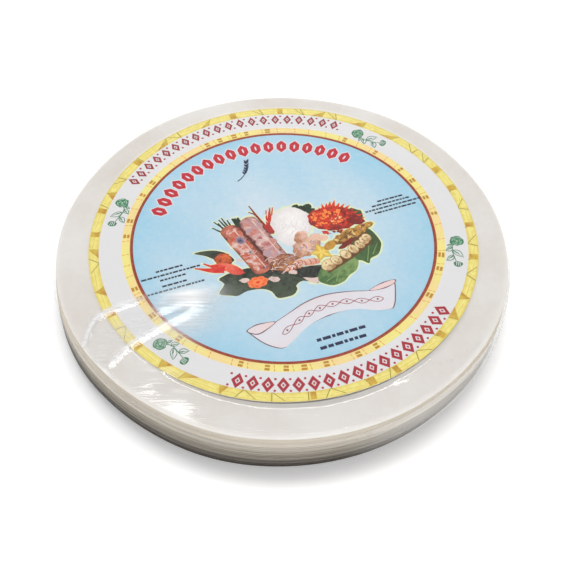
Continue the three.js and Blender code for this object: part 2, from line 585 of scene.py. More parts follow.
def clearFilm(material):
    look = filmMesh
    top, side, under = filmRings()
    turn = np.linspace(0.0, math.tau, look["segments"], endpoint=False)
    angle = turn - look["crowding"] * np.sin(turn - look["crowdedAngle"])
    cosine = np.cos(angle)
    sine = np.sin(angle)
    pleat = sum(np.cos(n * angle + 1.7 * n) for n in (23, 37, 52, 71)) / 4.0
    rings = []
    hazesAndPaintedHighlights = []
    dulls = []
    for radius in top:
        # the rings follow the label's edge, then drift to the rim's
        drift = np.clip((radius - 99.5) / (rimRadius - pack["topRounding"] - 99.5), 0.0, 1.0)
        wide = radius * (1.0 + (uneven(angle) - 1.0) * drift)
        x = wide * cosine + pack["labelOffset"][0] * (1.0 - drift)
        y = wide * sine + pack["labelOffset"][1] * (1.0 - drift)
        rise, cloud = filmRise(x, y)
        rings.append(np.stack([x, y, stackHeight + rise], 1))
        hazesAndPaintedHighlights.append(cloud)
        dulls.append(np.full_like(angle, eased((drift - 0.8) * 5.0)))
    rimRise = rise
    shoulder = stackHeight - pack["topRounding"]
    for height in side:
        leanX, leanY = leanAt(height)
        low = eased(1.0 - height / look["pleatReach"])
        wall = wallRadius(height) * uneven(angle) + 0.15
        wall = wall + look["pleats"] * low * pleat * min(1.0, height / 0.8)
        for middle, wander, count, phase in sideBands:
            line = middle + wander * np.sin(count * angle + phase)
            strength = 0.5 + 0.5 * np.sin((count + 1.0) * angle + phase * 2.0)
            wall = wall + look["bandDepth"] * strength * np.exp(-(((height - line) / look["bandWidth"]) ** 2))
        fade = eased((height - shoulder) / pack["topRounding"])
        tall = np.full_like(angle, max(height, 0.05)) + rimRise * fade
        rings.append(np.stack([wall * cosine + leanX, wall * sine + leanY, tall], 1))
        band = look["shoulderCloud"] * eased((height - 18.5) / 3.0) * (1.0 - 0.6 * fade)
        # painted highlight on the wall's right, drawn as milky film
        rightHighlight = eased((np.cos(angle - look["paintedHighlightAngle"]) - 0.72) / 0.22) * eased((height - 5.0) / 10.0)
        hazesAndPaintedHighlights.append(band + look["footCloud"] * low * np.clip(pleat, 0.0, 1.0)
                      + look["sidePaintedHighlight"] * rightHighlight * (1.0 - fade))
        dulls.append(np.ones_like(angle))
    leanX, leanY = leanAt(0.0)
    for radius in under:
        fold = np.clip(pleat, 0.0, 1.0) * eased((radius - 70.0) / 35.0)
        x = radius * uneven(angle) * cosine + leanX
        y = radius * uneven(angle) * sine + leanY
        rings.append(np.stack([x, y, 0.02 + 0.03 * fold], 1))
        hazesAndPaintedHighlights.append(0.3 * fold)
        dulls.append(np.ones_like(angle))
    middleX, middleY = pack["labelOffset"]
    middleRise, _ = filmRise(np.array([middleX]), np.array([middleY]))
    points = np.concatenate(rings + [
        np.array([[middleX, middleY, stackHeight + middleRise[0]], [leanX, leanY, 0.02]])])
    topMiddle = len(points) - 2
    underMiddle = len(points) - 1
    count = look["segments"]
    last = (len(rings) - 1) * count
    faces = []
    for i in range(count):
        after = (i + 1) % count
        faces.append((topMiddle, i, after))
        for low in range(0, last, count):
            faces.append((low + i, low + count + i, low + count + after, low + after))
        faces.append((last + i, underMiddle, last + after))
    piece = meshPiece("clearFilm", points, faces, material)
    for name, values, middles in (("hazeAndPaintedHighlight", hazesAndPaintedHighlights, (0.0, 0.0)), ("dull", dulls, (0.0, 1.0))):
        attribute = piece.data.attributes.new(name, "FLOAT", "POINT")
        attribute.data.foreach_set("value", np.concatenate(values + [np.array(middles)]))
    return piece


clearFilmLook = {
    "gain": 1.6,                 # two faces of film reflect
    "mostGloss": 0.5,
    "wallGloss": 0.3,            # the wall's share of that, as it is dull with fine folds
    "wallMost": 0.06,            # at the top; the foot of the wall mirrors nothing
    "haze": shade(250, 250, 250),
    "roughness": 0.1,
    "wallRoughness": 0.26,
    "ior": 1.5,
    "wrinkleScale": 130.0,
    "topLines": (45.0, 800.0, 45.0),       # how fine the stretch lines are, across x, y and z
    "wallLines": (14.0, 14.0, 900.0),
    "lineDepth": 0.75,
    "hazeLeast": 0.55,
    "hazeLines": 0.9,
    "bumpStrength": 0.16,
    "bumpDepth": 0.4 * mm,
}


def clearFilmMaterial():
    look = clearFilmLook
    material, board = newMaterial("clearFilm")
    place = board.coordinates()
    wrinkle = board.noise(look["wrinkleScale"], 3.0, place)
    wall = board.stored("dull")
    fineTop = board.noise(1.0, 2.0, board.stretched(place, look["topLines"]))
    fineWall = board.noise(1.0, 2.0, board.stretched(place, look["wallLines"]))
    fine = fineTop + (fineWall - fineTop) * wall
    relief = wrinkle * (1.0 - wall) + fine * look["lineDepth"]
    bump = board.bump(look, relief)
    roughness = wall * (look["wallRoughness"] - look["roughness"]) + look["roughness"]
    gloss = board.add("ShaderNodeFresnel", {}, {"IOR": look["ior"], "Normal": bump})
    dulled = 1.0 - wall * (1.0 - look["wallGloss"])
    height = board.part(place, "Z")
    wallMost = (height / (stackHeight * mm)).limited() * look["wallMost"]
    most = look["mostGloss"] - wall * (look["mostGloss"] - wallMost)
    share = gloss.maths("MINIMUM", gloss * dulled * look["gain"], most)
    # white diffuse film, partly haze of stretched film and partly a painted highlight
    haze = (board.stored("hazeAndPaintedHighlight") * (look["hazeLeast"] + fine * look["hazeLines"])).limited()
    clear = board.add("ShaderNodeBsdfTransparent")
    milky = board.add("ShaderNodeBsdfDiffuse", {}, {"Color": look["haze"]})
    body = board.add("ShaderNodeMixShader", {}, {0: haze, 1: clear, 2: milky})
    shine = board.add("ShaderNodeBsdfGlossy", {}, {"Roughness": roughness, "Normal": bump})
    surface = board.add("ShaderNodeMixShader", {}, {0: share, 1: body, 2: shine})
    show(board, surface)
    return material


# Colours of the print, 0 to 255
inks = {
    "white": (230, 229, 230),
    "ringYellow": (244, 234, 144),
    "ringGold": (220, 192, 74),
    "ochre": (196, 142, 44),
    "olive": (140, 124, 46),
    "peach": (246, 222, 158),
    "orange": (230, 140, 56),
    "redBrown": (150, 40, 30),
    "skyPale": (210, 226, 236),
    "skyBlue": (164, 211, 232),
    "deepRed": (160, 46, 52),
    "redInk": (176, 34, 52),
    "boldRed": (200, 30, 54),
    "leafInk": (58, 128, 88),
    "leafPale": (178, 212, 190),
    "navy": (26, 34, 78),
    "slate": (34, 44, 60),
    "ribbon": (228, 228, 234),
    "ribbonShade": (240, 214, 212),
    "mauve": (120, 78, 92),
    "halo": (234, 240, 186),
    "darkLeaf": (20, 28, 24),
    "darkLeafLit": (72, 84, 64),
    "greenLeaf": (72, 112, 58),
    "greenLeafLit": (136, 166, 100),
    "mossLeaf": (62, 84, 40),
    "chive": (26, 48, 28),
    "chilliRed": (218, 44, 34),
    "chilliLit": (240, 124, 96),
    "chilliOrange": (232, 116, 52),
    "flowerBrown": (132, 34, 14),
    "flowerRed": (204, 48, 24),
    "rollPink": (210, 122, 98),
    "rollPale": (230, 206, 198),
    "rollLilac": (184, 160, 172),
    "rollOrange": (198, 86, 54),
    "rollRose": (182, 78, 76),
    "rollVeil": (206, 158, 154),
    "rollEdge": (104, 44, 34),
    "inkBlue": (48, 54, 92),
    "noodle": (250, 247, 246),
    "noodleShade": (228, 222, 220),
    "crabRed": (226, 58, 26),
    "crabDark": (128, 14, 10),
    "crabLit": (255, 150, 62),
    "fried": (206, 154, 62),
    "friedDark": (108, 64, 22),
    "friedLit": (236, 204, 128),
    "bead": (240, 222, 176),
    "beadShade": (176, 132, 82),
    "starFruit": (220, 178, 52),
    "starFruitLit": (242, 216, 110),
    "prawn": (226, 148, 122),
    "prawnLit": (238, 200, 180),
    "tan": (188, 130, 96),
    "carrot": (240, 92, 42),
    "carrotLit": (252, 150, 84),
}

printLook = {
    "turn": 20.0,                # degrees the print is turned on the pack
    "arcTurn": 2.4,              # and its arcs a little more
    "fieldRadius": 73.8,
    "lineRadius": 75.3,
    "innerRing": 79.3,
    "whiteRing": 90.4,
    "gridStep": 1.5,             # spacing of the points that carry soft shading
    "rimCorners": 360,
}
printRandom = random.Random(24)
shapes = []


def lay(outline, ink, second=None, grain=0.0, fade=None):
    # prints a closed outline over what is there; fade goes from 0, ink, to 1, second ink
    shapes.append({
        "outline": np.asarray(outline, float),
        "inks": (shade(*inks[ink]), shade(*inks[second or ink])),
        "grain": grain,
        "fade": fade,
    })


def along(start, end):
    # a fade from one point to another
    start = np.array(start, float)
    step = np.array(end, float) - start
    return lambda p: np.clip((p - start) @ step / (step @ step), 0.0, 1.0)


def across(start, end, half):
    # a fade from the middle line between two points out to a distance of half
    start = np.array(start, float)
    step = np.array(end, float) - start
    normal = np.array((-step[1], step[0])) / np.hypot(*step)
    return lambda p: np.clip(np.abs((p - start) @ normal) / half, 0.0, 1.0) ** 2


def outward(middle, reach):
    middle = np.array(middle, float)
    return lambda p: np.clip(np.hypot(*(p - middle).T) / reach, 0.0, 1.0)


def polar(radius, degrees):
    angle = math.radians(degrees)
    return (radius * math.cos(angle), radius * math.sin(angle))


def swung(a, b, turn):
    t = math.radians(turn)
    return a * math.cos(t) - b * math.sin(t), a * math.sin(t) + b * math.cos(t)


def oval(x, y, halfLength, halfWidth=None, turn=0.0, corners=20):
    halfWidth = halfWidth or halfLength
    angle = np.linspace(0.0, math.tau, corners, endpoint=False)
    a, b = swung(halfLength * np.cos(angle), halfWidth * np.sin(angle), turn)
    return np.stack([x + a, y + b], 1)


def blob(x, y, halfLength, halfWidth, turn=0.0, rough=0.12, corners=18):
    # an oval with an uneven outline
    points = oval(0.0, 0.0, halfLength, halfWidth, turn, corners)
    draws = [printRandom.uniform(-rough, rough) for _ in range(corners)]
    return points * (1.0 + np.array(draws))[:, None] + (x, y)


def ringPart(inner, outer, start, end, step=2.0):
    steps = max(2, int(abs(end - start) / step) + 1)
    angles = np.linspace(start, end, steps)
    return [polar(outer, a) for a in angles] + [polar(inner, a) for a in angles[::-1]]


def stroke(points, width, endWidth=None, steps=5):
    # a line of ink that tapers from one width to another
    path = smoothPath(points, steps) if len(points) > 2 else np.array(points, float)
    endWidth = width if endWidth is None else endWidth
    heading = np.gradient(path, axis=0)
    heading = heading / np.maximum(np.hypot(heading[:, 0], heading[:, 1]), 1e-9)[:, None]
    normal = np.stack([-heading[:, 1], heading[:, 0]], 1)
    half = np.linspace(width, endWidth, len(path))[:, None] / 2
    return np.concatenate([path + normal * half, (path - normal * half)[::-1]])


def leafShape(root, tip, width, bend=0.0, corners=9):
    root = np.array(root, float)
    step = np.array(tip, float) - root
    normal = np.array((-step[1], step[0])) / np.hypot(*step)
    t = np.linspace(0.0, 1.0, corners)
    spine = root + step * t[:, None] + normal * (bend * np.sin(math.pi * t))[:, None]
    half = normal * (width / 2 * np.sin(math.pi * t ** 0.8))[:, None]
    return np.concatenate([spine + half, (spine - half)[-2:0:-1]])


def grown(outline, margin):
    outline = np.asarray(outline, float)
    middle = outline.mean(0)
    reach = np.hypot(*(outline - middle).T)
    return middle + (outline - middle) * (1.0 + margin / np.maximum(reach, 0.5))[:, None]


def rings():
    # bamboo ring, white ring, inner ring, line and field
    look = printLook
    lay(oval(0.0, 0.0, labelRadius - 0.02, corners=look["rimCorners"]), "ringYellow", "ringGold", 0.35,
        lambda p: 0.55 * np.clip((np.abs(np.hypot(*p.T) - 92.9) - 1.0) / 1.5, 0.0, 1.0))
    bambooJoints()
    lay(oval(0.0, 0.0, look["whiteRing"], corners=240), "white", "white", 0.0)
    lay(oval(0.0, 0.0, look["innerRing"], corners=240), "peach", "ringYellow", 0.5,
        lambda p: 0.5 + 0.5 * np.sin(9.0 * np.arctan2(p[:, 1], p[:, 0])))
    innerJoints()
    lay(oval(0.0, 0.0, look["lineRadius"], corners=240), "redBrown", "orange", 0.15,
        lambda p: np.clip((np.hypot(*p.T) - 74.9) / 0.9, 0.0, 1.0) * 0.6)
    lay(oval(0.0, 0.0, look["fieldRadius"], corners=240), "skyPale", "skyBlue", 0.25, skyFade)


def skyFade(p):
    # pale in the middle and in soft clouds, bluer towards the edge
    reach = np.hypot(*p.T) / printLook["fieldRadius"]
    drift = ripples(p[:, 0], p[:, 1], 46.0, 5)
    return np.clip(0.12 + 0.72 * reach ** 2.2 + 0.35 * drift, 0.0, 1.0)


def bambooJoints():
    # canes laid round the outer ring, crossed by joints and knots
    angle = 0.0
    while angle < 358.0:
        length = printRandom.uniform(5.0, 11.0)
        slant = printRandom.uniform(-2.2, 2.2)
        foot = polar(90.2, angle)
        head = polar(labelRadius - 0.2, angle + slant)
        lay(stroke([foot, head], 0.35), "olive", "ochre", 0.5)
        kind = printRandom.random()
        if kind < 0.3:
            wide = printRandom.uniform(1.6, 2.4)
            lay(ringPart(90.8, 95.0, angle + 0.4, angle + 0.4 + wide), "ochre", "ringGold", 0.8,
                along(foot, head))
        elif kind < 0.6:
            far = polar(90.4, angle + printRandom.uniform(2.5, 4.5))
            lay([head, far, foot], "ringGold", "ochre", 0.8, along(foot, far))
        else:
            lay(stroke([foot, polar(94.8, angle + 3.6)], 0.3), "olive", "ochre", 0.4)
        lay(stroke([polar(93.4, angle + 1.0), polar(93.0, angle + length * 0.5),
                    polar(93.5, angle + length - 1.0)],
                   0.22), "ringGold", "ochre", 0.4)
        angle += length


def innerJoints():
    angle = 3.0
    while angle < 360.0:
        if printRandom.random() < 0.55:
            wide = printRandom.uniform(1.2, 2.2)
            lay(ringPart(75.9, 78.9, angle, angle + wide), "orange", "ochre", 0.6,
                along((0, 0), polar(78, angle)))
        lay(stroke([polar(75.7, angle + 3.0), polar(79.2, angle + 3.4)], 0.3), "orange", "ochre", 0.4)
        lay(stroke([polar(77.3, angle), polar(77.6, angle + 4.0)], 0.5), "ringYellow", "peach", 0.3)
        angle += printRandom.uniform(4.5, 9.0)


def friezes():
    # plain ornament: lozenges, dots and long beads on arcs
    up = 90.0 + printLook["arcTurn"]
    for i in range(20):
        lozenge(up + 41.0 - i * 82.0 / 19, 86.1, 3.6, 2.2, "deepRed")
    for i in range(17):
        lozenge(up + 180.0 - 36.0 + i * 72.0 / 16, 86.3, 4.2, 2.9, "redInk")
    for i in range(18):
        bead(up + 52.0 - i * 104.0 / 17, 60.4, 69.4)


def turned(points, angle, radius):
    # points (sideways, outwards) about a spot on an arc
    out = np.array(polar(1.0, angle))
    sideways = np.array((out[1], -out[0]))
    return [out * (radius + b) + sideways * a for a, b in points]


def lozenge(angle, radius, tall, wide, ink):
    for size, tone in ((1.0, ink), (0.42, "white"), (0.2, ink)):
        a, b = wide * size, tall * size
        lay(turned([(0, b), (a, 0), (0, -b), (-a, 0)], angle, radius), tone, "boldRed", 0.2)
    gap = angle - math.degrees(wide * 1.25 / radius)
    for b in (-tall * 0.74, tall * 0.74):
        spot = turned([(0, b)], gap, radius)[0]
        lay(oval(spot[0], spot[1], 0.62, corners=8), ink)


def bead(angle, low, high):
    half = (high - low) / 2
    middle = (high + low) / 2
    for wide, tall, tone in ((3.2, half + 0.7, "white"), (2.6, half, "boldRed"), (0.45, half * 0.4, "white")):
        outline = [(0, tall), (wide, tall * 0.42), (wide, -tall * 0.42), (0, -tall), (-wide, -tall * 0.42),
                   (-wide, tall * 0.42)]
        lay(turned(outline, angle, middle), tone, "deepRed" if tone == "boldRed" else tone, 0.2)


def roseSprig(angle, hand):
    # a bud, a stem with veined leaves and a half-open flower, on the white ring
    def at(sideways, outwards):
        return polar(84.4 + outwards, angle + hand * math.degrees(sideways / 84.4))
    lay(stroke([at(1.6, -0.6), at(4.6, -2.0), at(9.0, -1.2), at(15.0, 1.2)], 0.5, 0.34), "leafInk")
    lay(blob(*at(0.0, 0.6), 3.5, 3.1, angle, 0.1, 16), "leafInk", "leafPale", 0.3)
    for start, size in ((20.0, 2.3), (110.0, 2.5), (200.0, 2.3), (290.0, 2.4), (65.0, 1.4), (185.0, 1.4),
                        (305.0, 1.4)):
        bend = [at(size * math.cos(math.radians(start + d)), 0.6 + size * math.sin(math.radians(start + d)))
                for d in (0, 35, 70)]
        lay(stroke(bend, 0.3, 0.5, 3), "leafPale", "leafInk", 0.2)
    lay(oval(*at(0.0, 0.6), 0.6, corners=8), "leafPale")
    leaves = (((4.2, -1.6), (7.0, -5.2), 2.8), ((6.0, -1.6), (10.2, 3.8), 3.4),
              ((9.4, -1.0), (13.6, -4.4), 3.0), ((2.4, -1.8), (3.0, -4.6), 1.6))
    for root, tip, wide in leaves:
        outline = leafShape(at(*root), at(*tip), wide, 0.3)
        lay(outline, "leafInk")
        lay(grown(outline, -0.42), "white", "leafPale", 0.3)
        for share, side in ((1.0, 0.0), (0.55, 0.5), (0.55, -0.5)):
            middle = (root[0] + (tip[0] - root[0]) * share * 0.85,
                      root[1] + (tip[1] - root[1]) * share * 0.85 + side)
            lay(stroke([at(*root), at(*middle)], 0.26), "leafInk")
    lay(blob(*at(14.6, 1.4), 2.3, 1.7, angle, 0.1, 12), "leafInk", "leafPale", 0.3)
    for side in (-0.8, 0.0, 0.8):
        lay(stroke([at(13.2, 1.2 + side), at(15.6, 1.6 + side * 1.2)], 0.34), "white", "leafPale", 0.3)


def ruleLines():
    # rows of short plain bars where small print would stand
    rows = [(-58.5, 0.0, 13.0), (-58.5, -2.9, 29.0), (-58.5, -5.8, 12.0), (-58.5, -9.6, 12.0),
            (-58.5, -12.4, 28.0),
            (59.0, 6.6, 12.0), (59.0, 4.2, 20.0), (59.0, 1.8, 29.0), (59.0, -0.6, 21.0)]
    for middle, height, length in rows:
        barRow(middle, height, length, 1.05, "slate")
    barRow(3.8, -63.7, 22.0, 1.7, "navy")
    barRow(4.2, -68.4, 23.0, 1.7, "navy")


def barRow(middle, height, length, tall, ink):
    x = middle - length / 2
    while x < middle + length / 2:
        wide = printRandom.uniform(0.9, 2.6) * tall
        lay([(x, height - tall / 2), (x + wide, height - tall / 2), (x + wide, height + tall / 2),
             (x, height + tall / 2)], ink)
        x += wide + 0.42 * tall


def riceEar():
    # a small ear of rice above the picture
    stalk = smoothPath([(-9.0, 44.5), (-5.0, 47.0), (-2.2, 51.0), (-0.4, 56.6)], 6)
    lay(stroke(stalk[::4], 0.6, 0.35), "navy")
    for i in range(6):
        root = stalk[8 + i * 2 - (i > 4)]
        for hand in (-1, 1):
            tip = root + np.array((1.3 * hand + 0.9, 2.5))
            lay(leafShape(root, tip, 1.15, 0.0, 6), "navy")


def ribbon():
    band = [(-34.9, -48.2), (-29.9, -57.0), (-23.4, -62.2), (-18.0, -60.5), (-10.5, -56.0), (-3.0, -53.2),
            (7.0, -52.0), (17.0, -53.2), (25.1, -57.0), (31.4, -58.5), (33.6, -57.6), (36.4, -53.0),
            (39.8, -44.4), (37.0, -45.3), (27.0, -45.1), (18.2, -42.6), (9.5, -40.8), (2.0, -40.5),
            (-5.5, -41.8), (-13.0, -44.5), (-21.5, -47.6), (-28.0, -50.4), (-31.8, -50.6)]
    leftFold = [(-35.2, -48.0), (-31.8, -46.4), (-28.0, -46.1), (-21.3, -47.4), (-28.0, -50.6),
                (-31.8, -50.9)]
    rightFold = [(26.6, -45.1), (33.2, -43.1), (40.2, -43.0), (39.3, -45.0), (33.2, -46.1)]
    for points, fade in ((band, across((-30, -52), (36, -50), 16.0)), (leftFold, None), (rightFold, None)):
        outline = smoothPath(points, 5, True)
        lay(grown(outline, 0.35), "mauve")
        lay(grown(outline, -0.25), "ribbon", "ribbonShade", 0.15, fade or along((-40, -48), (-20, -48)))
    # a plain double wave along it, with dots in its bends
    spine = smoothPath([(-20.5, -55.0), (-11.5, -50.6), (-4.0, -47.8), (4.0, -46.6), (13.0, -47.2),
                        (22.0, -49.8), (31.0, -51.6)], 8)
    for hand in (-1.0, 1.0):
        wave = [(x, y + 1.5 * hand * math.sin(i * math.pi / 6)) for i, (x, y) in enumerate(spine)]
        lay(stroke(wave, 0.36, 0.36, 2), "deepRed")
    for x, y in spine[3::6]:
        lay(oval(x, y, 0.55, corners=8), "deepRed")


def bits(middle, spread, turn, count, size, choices, grain=0.3):
    # small uneven patches scattered in an oval
    for _ in range(count):
        reach = math.sqrt(printRandom.random())
        heading = printRandom.uniform(0.0, math.tau)
        a, b = swung(spread[0] * reach * math.cos(heading), spread[1] * reach * math.sin(heading), turn)
        long = size * printRandom.uniform(0.6, 1.5)
        ink = printRandom.choice(choices)
        lay(blob(middle[0] + a, middle[1] + b, long, long * printRandom.uniform(0.35, 0.8),
                 printRandom.uniform(0, 180), 0.25, 9),
            ink, printRandom.choice(choices), grain)


def picture():
    # a plate of rolls, noodles, shellfish and greens, back to front
    start = len(shapes)
    backGreens()
    noodleMound()
    redShell()
    friedPieces()
    lay(smoothPath([(-22.0, 12.5), (-17.0, 14.0), (-8.0, 4.0), (-4.0, -14.0), (-14.0, -16.5)], 4, True),
        "rollEdge", "darkLeaf", 0.8)
    roll((-13.0, 15.4), (-6.1, -13.6), 4.85, ("rollVeil", "rollLilac", "rollPale", "rollRose", "rollPink"),
         32)
    roll((-23.6, 13.2), (-16.3, -15.6), 4.8, ("rollPink", "rollPale", "rollOrange", "inkBlue"), 30)
    lay(blob(-20.4, 5.6, 2.3, 2.7, 20, 0.1), "inkBlue", "rollLilac", 0.5, outward((-20.4, 5.6), 2.9))
    lay(blob(-18.2, -3.6, 1.7, 1.0, 20, 0.1), "inkBlue", "rollPale", 0.5, outward((-18.2, -3.6), 1.8))
    prawnsAndShreds()
    starFruit()
    beadSkewer()
    carrotFlower()
    halo = []
    for shape in shapes[start:]:
        middle = shape["outline"].mean(0)
        extent = np.ptp(shape["outline"], axis=0).max()
        if extent > 3.2 and np.hypot(*(middle - (3.0, -6.0))) > 14.0:
            halo.append({**shape, "outline": grown(shape["outline"], 1.0), "grain": 0.9,
                         "inks": (shade(*inks["halo"]), shade(*inks["skyPale"])),
                         "fade": lambda p: np.full(len(p), 0.25)})
    shapes[start:start] = halo


def backGreens():
    dark = [(-37.4, -13.9), (-36.4, -18.2), (-40.5, -22.9), (-35.5, -25.8), (-32.4, -27.0), (-27.4, -25.8),
            (-20.5, -27.0), (-16.8, -30.1), (-15.5, -34.5), (-11.1, -35.4), (-7.4, -35.1), (-4.9, -32.6),
            (-4.6, -30.4), (-0.5, -28.9), (5.1, -32.6), (6.7, -30.8), (9.5, -27.0), (10.8, -22.6),
            (-4.2, -19.5), (-23.0, -12.5)]
    lay(smoothPath(dark, 3, True), "darkLeaf", "darkLeafLit", 0.9, along((0, -18), (-8, -36)))
    for tip in ((-38.0, -22.0), (-30.0, -25.5), (-11.0, -33.5), (4.0, -30.0)):
        lay(stroke([(-12.0, -21.0), tip], 0.5, 0.2), "darkLeafLit", "darkLeaf", 0.3)
    lay(leafShape((0.1, -27.0), (10.6, -27.6), 3.4, -3.4), "rollPale", "leafPale", 0.5)
    first = [(6.4, -30.8), (8.2, -33.9), (12.0, -36.4), (17.6, -35.8), (21.4, -33.2), (26.4, -30.8),
             (28.9, -24.5), (20.8, -21.9), (10.1, -24.8)]
    lay(smoothPath(first, 4, True), "greenLeaf", "greenLeafLit", 0.9, along((10, -36), (26, -24)))
    second = [(28.0, -24.0), (30.8, -27.0), (33.2, -29.6), (35.1, -27.0), (39.5, -25.8), (42.6, -22.0),
              (43.9, -18.2), (42.6, -10.8), (39.5, -8.2), (30.0, -14.0)]
    lay(smoothPath(second, 4, True), "mossLeaf", "greenLeaf", 0.9, along((42, -12), (32, -28)))
    for begin, end in (((10.0, -33.0), (26.0, -26.0)), ((14.0, -34.6), (20.0, -26.0)),
                       ((33.0, -28.0), (40.0, -14.0)), ((37.0, -25.0), (42.0, -19.0))):
        lay(stroke([begin, end], 0.5, 0.25), "greenLeafLit", "greenLeaf", 0.3)
    left = [(-44.4, 4.8), (-41.1, 5.1), (-35.5, 3.9), (-31.8, 1.8), (-29.2, -0.8), (-27.4, -5.8),
            (-32.4, -5.8), (-36.8, -1.4), (-39.9, 1.8)]
    lay(smoothPath(left, 4, True), "darkLeaf", "darkLeafLit", 0.8, along((-30, 0), (-44, 4)))
    lay(blob(-32.2, -3.8, 4.3, 4.4, 0, 0.1), "chilliOrange", "redBrown", 0.9, outward((-31.4, -2.6), 5.4))
    lay(leafShape((-25.0, -14.8), (-41.0, -4.6), 5.0, -1.4), "chilliRed", "chilliLit", 0.7,
        across((-25.0, -14.8), (-41.0, -4.6), 2.6))
    for root, tip in (((-33.0, -8.8), (-46.9, -4.2)), ((-33.0, -9.4), (-42.2, -2.6)),
                      ((-34.0, -10.4), (-44.4, -5.8))):
        lay(stroke([root, ((root[0] + tip[0]) / 2, (root[1] + tip[1]) / 2 - 0.8), tip], 2.6, 0.7),
            "chilliRed", "chilliLit", 0.6)
    lay(blob(-29.4, -11.6, 4.9, 2.5, -42, 0.08), "chilliRed", "chilliLit", 0.6, along((-26, -15), (-33, -9)))
    for root, tip in (((-27.2, 13.2), (-31.2, 18.0)), ((-24.9, 14.0), (-29.3, 21.6)),
                      ((-23.9, 14.2), (-26.5, 22.2)),
                      ((-23.0, 14.4), (-24.9, 22.8)), ((-21.8, 14.4), (-22.6, 20.6)),
                      ((-25.8, 13.8), (-27.4, 20.0))):
        lay(stroke([root, tip], 1.1, 0.6), "chive", "darkLeafLit", 0.5)
    for root, tip in (((-18.6, 12.4), (-19.9, 20.6)), ((-17.4, 13.2), (-18.7, 20.4)),
                      ((-16.4, 13.4), (-17.2, 20.4)), ((-17.9, 13.2), (-18.2, 19.6))):
        lay(stroke([root, tip], 1.7, 1.1), "chive", "darkLeafLit", 0.5)
    for points, wide, ink in ((((-4.9, 5.6), (-6.9, 14.2), (-9.3, 26.2)), 2.2, "flowerBrown"),
                              (((-7.0, 15.0), (-8.6, 19.6), (-11.0, 22.0)), 1.1, "flowerBrown"),
                              (((-4.4, 6.0), (-2.4, 14.2), (0.4, 21.4)), 3.0, "flowerRed"),
                              (((-3.0, 12.0), (-0.6, 16.0), (1.7, 21.0)), 1.3, "flowerRed"),
                              (((-5.2, 8.0), (-3.6, 15.0), (-2.0, 20.4)), 1.4, "flowerRed"),
                              (((-4.6, 10.0), (-1.0, 12.6), (2.4, 14.2)), 0.9, "flowerBrown")):
        lay(stroke(points, wide, 0.5), ink, "chilliLit", 0.6)
    lay(blob(-4.6, 7.6, 2.6, 3.6, 10, 0.1), "deepRed", "flowerRed", 0.6, along((-5, 4), (-3, 12)))
    for x, y, size in ((12.6, 17.4, 2.0), (17.4, 14.8, 3.1), (19.0, 12.2, 2.4), (15.0, 16.0, 1.8)):
        lay(blob(x, y, size, size * 0.8, 20, 0.16, 12), "chive", "mossLeaf", 0.8)


def noodleMound():
    lay(blob(7.0, 7.6, 10.4, 11.0, 0, 0.05, 24), "noodle", "noodleShade", 0.35, outward((8.0, 10.0), 13.0))
    lay(blob(4.0, -1.0, 7.6, 6.0, -30, 0.08, 18), "noodle", "noodleShade", 0.35, outward((6.0, 3.0), 11.0))
    for _ in range(34):
        x = 7.0 + printRandom.gauss(0.0, 4.2)
        y = 6.0 + printRandom.gauss(0.0, 4.4)
        bend = printRandom.uniform(-1.5, 1.5)
        heading = math.radians(printRandom.uniform(20.0, 110.0))
        reach = printRandom.uniform(1.6, 3.2)
        a = np.array((math.cos(heading), math.sin(heading))) * reach
        lay(stroke([(x - a[0], y - a[1]), (x - a[1] * bend * 0.3, y + a[0] * bend * 0.3),
                    (x + a[0], y + a[1])], 0.26),
            printRandom.choice(("noodleShade", "noodle", "noodleShade")), "noodle", 0.6)


def redShell():
    # a crisp red shell with spines along its back
    lay(blob(38.2, 2.2, 4.6, 4.6, 0, 0.12), "mossLeaf", "chive", 0.8)
    spines = [(20.6, 8.6), (22.8, 11.0), (25.0, 12.2), (27.0, 12.8), (29.0, 12.9), (31.0, 12.4), (32.8, 11.0),
              (34.4, 9.4), (36.0, 7.6), (37.6, 5.6), (38.8, 3.4), (39.8, 1.0), (40.6, -1.4)]
    for i, (x, y) in enumerate(spines):
        out = np.array((x - 27.0, y - 2.0))
        out = out / np.hypot(*out)
        reach = 2.6 + 1.0 * (i % 3)
        tip = (x + out[0] * reach * 0.5 + 1.4, y + out[1] * reach * 0.6 + 0.4)
        side = np.array((-out[1], out[0])) * 1.3
        lay([(x - out[0] * 2 + side[0], y - out[1] * 2 + side[1]), tip,
             (x - out[0] * 2 - side[0], y - out[1] * 2 - side[1])], "crabRed", "crabDark", 0.5)
    lay(blob(27.6, 3.6, 12.6, 8.0, -18, 0.06, 26), "crabRed", "crabDark", 1.0, outward((25.0, 6.0), 15.0))
    lay(blob(38.0, -1.4, 4.4, 3.2, -30, 0.12, 14), "crabDark", "crabRed", 0.8)
    for spread, count, size, choices in (((10.6, 6.2), 46, 1.0,
                                          ("chilliRed", "crabRed", "crabLit", "crabDark")),
                                         ((8.4, 4.4), 40, 0.62, ("crabLit", "carrotLit", "chilliOrange")),
                                         ((5.2, 2.8), 12, 0.5, ("halo", "carrotLit", "crabLit"))):
        bits((26.4, 4.4), spread, -18, count, size, choices, 0.6)
    bits((20.6, 5.6), (4.4, 4.6), 0, 22, 0.8, ("crabLit", "carrotLit", "chilliOrange", "crabRed"), 0.6)
    bits((24.0, -4.6), (5.5, 1.4), -12, 14, 0.9, ("crabDark", "flowerBrown", "crabRed"), 0.6)


